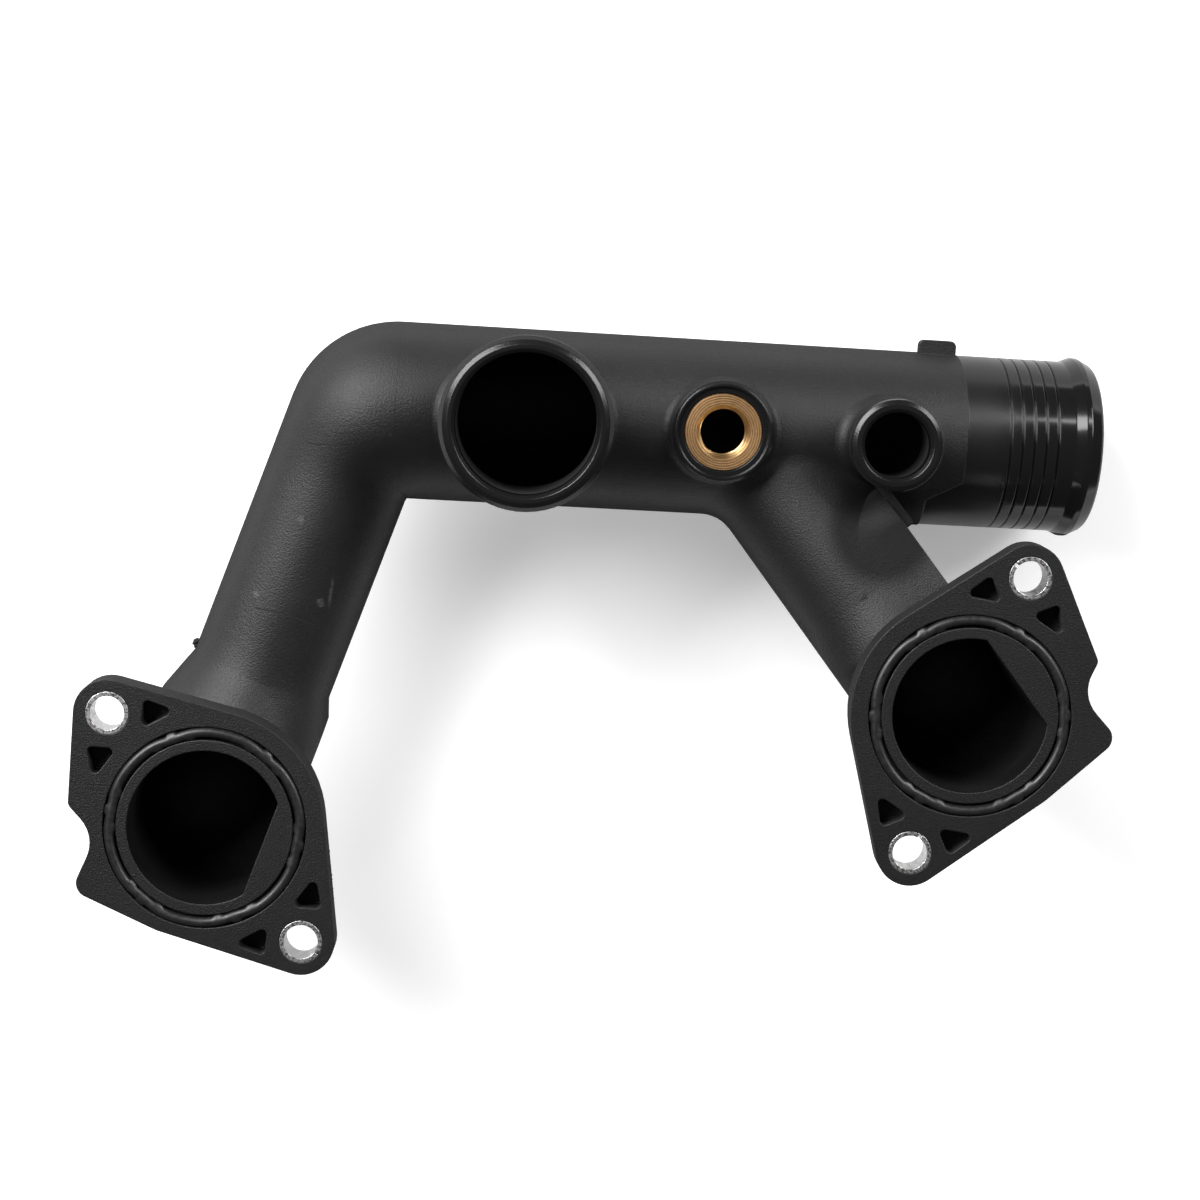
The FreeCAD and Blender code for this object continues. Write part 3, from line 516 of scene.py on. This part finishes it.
def splitLegs(mesh):  # halves the long edges where the shading is evened, and moves nothing
    form = bmesh.new()
    form.from_mesh(mesh)
    for _ in range(evening["passes"]):
        edges = [edge for edge in form.edges if edge.calc_length() > evening["edge"] * mm]
        ends = numpy.array([[*edge.verts[0].co, *edge.verts[1].co] for edge in edges]) / mm
        touched = numpy.zeros(len(edges), dtype=bool)
        for share in (0, 0.25, 0.5, 0.75, 1):
            touched |= evenShare(ends[:, :3] * (1 - share) + ends[:, 3:] * share) > 0
        edges = [edge for edge, wanted in zip(edges, touched) if wanted]
        if not edges:
            break
        bmesh.ops.subdivide_edges(form, edges=edges, cuts=1)
        bmesh.ops.triangulate(form, faces=[face for face in form.faces if len(face.verts) > 3])
    form.to_mesh(mesh)
    form.free()


def evenNormals(mesh, base):  # each corner's normal, drawn to the mean of the skin around it
    vertexOf = readArray(mesh.loops, "vertex_index", 1, numpy.int32)
    points = readArray(mesh.vertices, "co", 3) / mm
    centres = readArray(mesh.polygons, "center", 3) / mm
    areas = readArray(mesh.polygons, "area", 1) / mm ** 2 + 1e-6
    starts = readArray(mesh.polygons, "loop_start", 1, numpy.int32)
    faceNormals = unit(numpy.add.reduceat(base, starts, axis=0))
    share = evenShare(points)[vertexOf]
    chosen = numpy.nonzero(share > 0.001)[0]
    places = points[vertexOf[chosen]]

    # samples of the skin, one for each small cell and way of facing
    spread = evening["spread"]
    near = (centres > places.min(axis=0) - 3 * spread) & (centres < places.max(axis=0) + 3 * spread)
    near = numpy.all(near, axis=1)
    keys = [numpy.floor(centres[near] / evening["cell"]), numpy.round(faceNormals[near] * evening["cellTurn"])]
    sample, weight, _ = gather(numpy.hstack(keys), areas[near], numpy.hstack([centres[near], faceNormals[near]]))
    samplePlace, sampleNormal = sample[:, :3], unit(sample[:, 3:])

    # corners at one place with one normal are worked out once
    keys = [numpy.round(places * evening["same"]), numpy.round(base[chosen] * evening["same"])]
    target, _, group = gather(numpy.hstack(keys), numpy.ones(len(chosen)), numpy.hstack([places, base[chosen]]))
    evened = numpy.zeros((len(target), 3))
    for begin in range(0, len(target), evening["batch"]):
        rows = slice(begin, begin + evening["batch"])
        here, facing = target[rows, :3], target[rows, 3:]
        gap = (here ** 2).sum(axis=1)[:, None] + (samplePlace ** 2).sum(axis=1)[None, :] - 2 * here @ samplePlace.T
        alike = numpy.clip(facing @ sampleNormal.T, 0, 1) ** evening["likeness"]
        evened[rows] = (numpy.exp(-gap / (2 * spread ** 2)) * alike * weight[None, :]) @ sampleNormal
    part = share[chosen][:, None]
    base[chosen] = unit(base[chosen] * (1 - part) + unit(evened)[group] * part)
    return base


def makeMoulding():
    mesh = nodes["moulded_pipe"].data.copy()
    mesh.name = "pipeMoulding"
    cornerNormals = readArray(mesh.corner_normals, "vector", 3)
    mesh.attributes.new("baseNormal", "FLOAT_VECTOR", "CORNER").data.foreach_set("vector", cornerNormals.ravel())
    splitLegs(mesh)
    base = unit(readArray(mesh.attributes["baseNormal"].data, "vector", 3))
    normals = evenNormals(mesh, base)
    mesh.attributes.remove(mesh.attributes["baseNormal"])
    mesh.polygons.foreach_set("use_smooth", [True] * len(mesh.polygons))
    mesh.normals_split_custom_set(normals.tolist())
    piece = addPiece("pipeMoulding", mesh, "black_nylon")
    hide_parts("moulded_pipe")
    print("moulding evened:", len(mesh.polygons), "faces")


makeMoulding()


# wavy rubber seals: drawn in beside each outer nub, with two inner nubs beside that
seal = {
    "radius": 21.62, "drawnIn": 0.5, "drawnWidth": 9.5,  # mm, mm, degrees
    "half": 1.15, "bottom": -2.6, "top": 0.55,
    "waves": 6, "nubSpread": 11.0, "nubOut": 0.62, "nubIn": 0.45, "nubLength": 1.1,  # degrees, then mm
    "nubEdge": 4, "shoulder": 4,  # how abruptly a nub rises, how soon the section turns from round to straight
    "around": 720, "section": 32,
    "leftPhase": -7.7, "rightPhase": 3.5, "wander": 0.04, "wanderTurns": 5,
}


def makeSeal(name, centre, phase, node):
    points = []
    halfHeight = (seal["top"] - seal["bottom"]) / 2
    middle = (seal["top"] + seal["bottom"]) / 2
    straight = halfHeight - seal["half"]
    wave = 360 / seal["waves"]
    for step in range(seal["around"]):
        turn = 360 * step / seal["around"]
        station = (turn - phase + wave / 2) % wave - wave / 2
        radius = seal["radius"] - seal["drawnIn"] * math.exp(-(station / seal["drawnWidth"]) ** 2)
        radius += seal["wander"] * math.sin(math.radians(seal["wanderTurns"] * turn) + centre[0])
        arc = math.radians(radius)
        outer = seal["nubOut"] * math.exp(-(station * arc / seal["nubLength"]) ** seal["nubEdge"])
        innerGap = (abs(station) - seal["nubSpread"]) * arc / seal["nubLength"]
        inner = seal["nubIn"] * math.exp(-innerGap ** seal["nubEdge"])
        for index in range(seal["section"]):
            angle = 2 * math.pi * index / seal["section"]
            out, up = math.cos(angle), math.sin(angle)
            reach = seal["half"] * out + outer * max(out, 0) ** 2 - inner * max(-out, 0) ** 2
            height = seal["half"] * up + math.copysign(straight, up) * min(1, abs(up) * seal["shoulder"])
            place = radius + reach
            points.append((
                (centre[0] + place * math.cos(math.radians(turn))) * mm,
                (centre[1] + place * math.sin(math.radians(turn))) * mm,
                (middle + height) * mm,
            ))
    faces = []
    for step in range(seal["around"]):
        row, nextRow = step * seal["section"], (step + 1) % seal["around"] * seal["section"]
        for index in range(seal["section"]):
            beyond = (index + 1) % seal["section"]
            faces.append((row + index, nextRow + index, nextRow + beyond, row + beyond))
    mesh = bpy.data.meshes.new(name)
    mesh.from_pydata(points, [], faces)
    mesh.polygons.foreach_set("use_smooth", [True] * len(faces))
    piece = addPiece(name, mesh, "seal_rubber")
    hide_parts(node)


makeSeal("leftSealRing", pipe["leftBore"], seal["leftPhase"], "left_seal")
makeSeal("rightSealRing", pipe["rightBore"], seal["rightPhase"], "right_seal")
print("seals made")


# where a ray in mm meets the moulding, to seat small pieces on it
skin = nodes["moulded_pipe"].data
skinPoints = [vertex.co for vertex in skin.vertices]
skinTree = BVHTree.FromPolygons(skinPoints, [list(face.vertices) for face in skin.polygons])


def seatOf(start, direction):
    return skinTree.ray_cast(Vector(start) * mm, Vector(direction))[0] / mm


# torn gate stub on the left leg, in mm
gate = {"from": (-20, 38.4, -27.0), "towards": (1, 0, 0), "size": 1.05, "least": 0.7, "torn": 0.55, "tall": 1.5}


def makeGate():
    rng = random.Random(5)
    seat = seatOf(gate["from"], gate["towards"])
    form = bmesh.new()
    bmesh.ops.create_icosphere(form, subdivisions=3, radius=gate["size"])
    for vertex in form.verts:
        vertex.co *= gate["least"] + gate["torn"] * rng.random()
        vertex.co.z *= gate["tall"]
        vertex.co = (vertex.co + seat) * mm
    mesh = bpy.data.meshes.new("gateStub")
    form.to_mesh(mesh)
    form.free()
    addPiece("gateStub", mesh, "black_nylon")


makeGate()
print("gate stub made")


# ragged flash along the right edge of the left flange, in mm
flash = {
    "fromX": 60, "fromY": 3.9, "toY": -22.5, "atZ": -5.0, "steps": 110, "sunk": 0.4,
    "wide": 0.55, "wideLeast": 0.1, "wideRag": 1.5, "endBlunt": 0.4,  # shares and powers
    "tall": 1.6, "tallLeast": 0.5, "tipTall": 0.3, "lowerWide": 0.7, "lowerTall": 0.4,
}


def makeFlash():
    rng = random.Random(11)
    points, faces = [], []
    for step in range(flash["steps"] + 1):
        share = step / flash["steps"]
        y = flash["fromY"] + (flash["toY"] - flash["fromY"]) * share
        seat = seatOf((flash["fromX"], y, flash["atZ"]), (-1, 0, 0))
        ragged = flash["wideLeast"] + (1 - flash["wideLeast"]) * rng.random() ** flash["wideRag"]
        proud = flash["wide"] * math.sin(math.pi * share) ** flash["endBlunt"] * ragged
        half = flash["tall"] * (flash["tallLeast"] + (1 - flash["tallLeast"]) * rng.random())
        tip = (proud, half * flash["tipTall"] * rng.random())
        lower = (proud * flash["lowerWide"], -half * flash["lowerTall"])
        for side, height in ((-flash["sunk"], half), tip, lower, (-flash["sunk"], -half)):
            points.append(tuple((seat + Vector((side, 0, height))) * mm))
    for step in range(flash["steps"]):
        for index in range(4):
            row, nextRow = step * 4, step * 4 + 4
            faces.append((row + index, row + (index + 1) % 4, nextRow + (index + 1) % 4, nextRow + index))
    last = flash["steps"] * 4
    faces += [(0, 1, 2, 3), (last + 3, last + 2, last + 1, last)]
    mesh = bpy.data.meshes.new("flangeFlash")
    mesh.from_pydata(points, [], faces)
    form = bmesh.new()
    form.from_mesh(mesh)
    bmesh.ops.recalc_face_normals(form, faces=form.faces)
    form.to_mesh(mesh)
    form.free()
    addPiece("flangeFlash", mesh, "black_nylon")


makeFlash()
print("flange flash made")


# plain white sweep under the part, with a glow for the camera that grows to full white far away
stage = {
    "size": 3.0, "drop": 0.1,  # m, mm below the part
    "color": (0.9, 0.9, 0.9, 1), "mirrored": (0.42, 0.42, 0.42, 1), "rough": 0.9, "specular": 0.1,
    "lift": 0.26, "liftFar": 1.0, "middle": (85, 45), "liftReach": (260, 650),  # mm
}


def makeFloor():
    half = stage["size"] / 2
    level = cadBox[0][2] - stage["drop"] * mm
    mesh = bpy.data.meshes.new("floorMesh")
    corners = [(-half, -half, level), (half, -half, level), (half, half, level), (-half, half, level)]
    mesh.from_pydata(corners, [], [(0, 1, 2, 3)])
    floor = bpy.data.objects.new("floor", mesh)
    bpy.context.scene.collection.objects.link(floor)
    material, tree, shader = newMaterial("paleFloor")
    shader.inputs["Roughness"].default_value = stage["rough"]
    shader.inputs["Specular IOR Level"].default_value = stage["specular"]
    shader.inputs["Emission Color"].default_value = (1, 1, 1, 1)
    path = addNode(tree, "ShaderNodeLightPath").outputs
    color = mixColor(tree, path["Is Glossy Ray"], stage["color"], stage["mirrored"])
    feed(tree, color, shader.inputs["Base Color"])
    seen = anyOf(tree, path["Is Camera Ray"], path["Is Glossy Ray"], path["Is Transmission Ray"])
    far = rise(tree, reachFrom(tree, position(tree)[0], stage["middle"]), *stage["liftReach"])
    glow = mathNode(tree, "MULTIPLY", seen, mixFloat(tree, far, stage["lift"], stage["liftFar"]))
    feed(tree, glow, shader.inputs["Emission Strength"])
    mesh.materials.append(material)


makeFloor()


# even white surroundings, a large soft lamp at the upper left and another at the upper right
lamps = {
    "upperLeft": {"place": (-0.7, 0.75, 0.85), "size": 0.9, "power": 36},
    "upperRight": {"place": (0.95, 0.75, 0.7), "size": 0.6, "power": 13},
}
lampTarget = (0.085, 0.045, -0.03)
worldLevel = {"seen": 1.0, "onMatt": 0.4, "mirrored": 0.06}


def makeLights():
    for name, lamp in lamps.items():
        data = bpy.data.lights.new(name, "AREA")
        data.shape = "SQUARE"
        data.size = lamp["size"]
        data.energy = lamp["power"]
        obj = bpy.data.objects.new(name, data)
        obj.location = lamp["place"]
        obj.rotation_euler = (Vector(lampTarget) - obj.location).to_track_quat("-Z", "Y").to_euler()
        bpy.context.scene.collection.objects.link(obj)
    world = bpy.data.worlds.new("studio")
    bpy.context.scene.world = world
    world.use_nodes = True
    tree = world.node_tree
    back = tree.nodes["Background"]
    back.inputs["Color"].default_value = (1, 1, 1, 1)
    path = addNode(tree, "ShaderNodeLightPath").outputs
    level = mixFloat(tree, path["Is Diffuse Ray"], worldLevel["mirrored"], worldLevel["onMatt"])
    feed(tree, mixFloat(tree, path["Is Camera Ray"], level, worldLevel["seen"]), back.inputs["Strength"])


makeLights()
print("stage and lamps set")


# the camera looks almost straight down on the two sealing faces
camera = {
    "place": (73.8, 124.8, 692.5),  # mm
    "right": (0.99809, 0.06076, 0.01118),
    "down": (0.05936, -0.99334, 0.09871),
    "forward": (0.01710, -0.09785, -0.99505),
    "lens": 93.45, "sensor": 36.0,  # mm
    "clipStart": 0.01, "clipEnd": 20,  # m
}


def makeCamera():
    data = bpy.data.cameras.new("photoCamera")
    data.sensor_fit = "HORIZONTAL"
    data.sensor_width = camera["sensor"]
    data.lens = camera["lens"]
    data.clip_start = camera["clipStart"]
    data.clip_end = camera["clipEnd"]
    obj = bpy.data.objects.new("photoCamera", data)
    right, down, forward = [Vector(camera[name]) for name in ("right", "down", "forward")]
    turn = Matrix((right, -down, -forward)).transposed().to_4x4()
    obj.matrix_world = Matrix.Translation(Vector(camera["place"]) * mm) @ turn
    bpy.context.scene.collection.objects.link(obj)
    bpy.context.scene.camera = obj


makeCamera()
bpy.context.scene.view_settings.view_transform = "Standard"
print("camera set")
